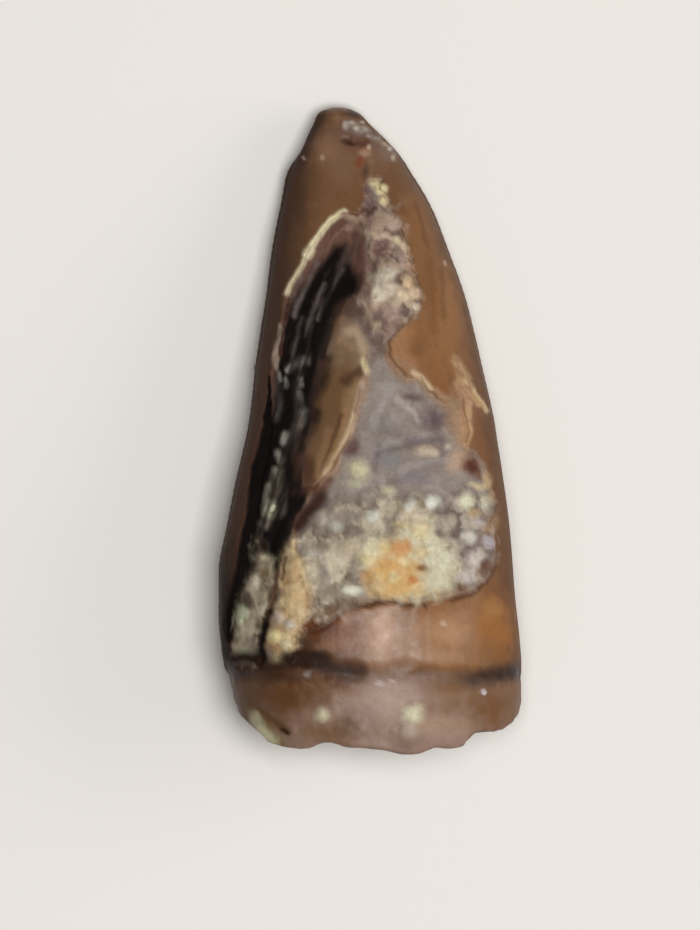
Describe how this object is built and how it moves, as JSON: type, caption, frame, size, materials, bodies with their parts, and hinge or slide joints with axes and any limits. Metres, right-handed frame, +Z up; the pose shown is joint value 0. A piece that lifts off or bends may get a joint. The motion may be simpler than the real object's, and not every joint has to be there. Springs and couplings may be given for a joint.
{
  "type": "fossil tyrannosaur tooth",
  "caption": "Fossil carnivore tooth crown lying on its side, with a blunt tip, flaked enamel, sandy crust and a broken base.",
  "frame": {"origin": "under the middle of the tooth's bounding box, at the level of the surface that the tooth lies on", "axes": "+Y along the tooth from its broken base to its tip, +Z up out of the face with the flaked enamel, +X to the tooth's convex front edge"},
  "size_m": [0.0168, 0.036, 0.0118],
  "materials": {
    "fossil_enamel": "glossy brown enamel, worn through to dull purple-grey dentine with cream and orange sandy crust"
  },
  "bodies": {
    "root": {"tooth": "fossil_enamel"}
  },
  "joints": []
}
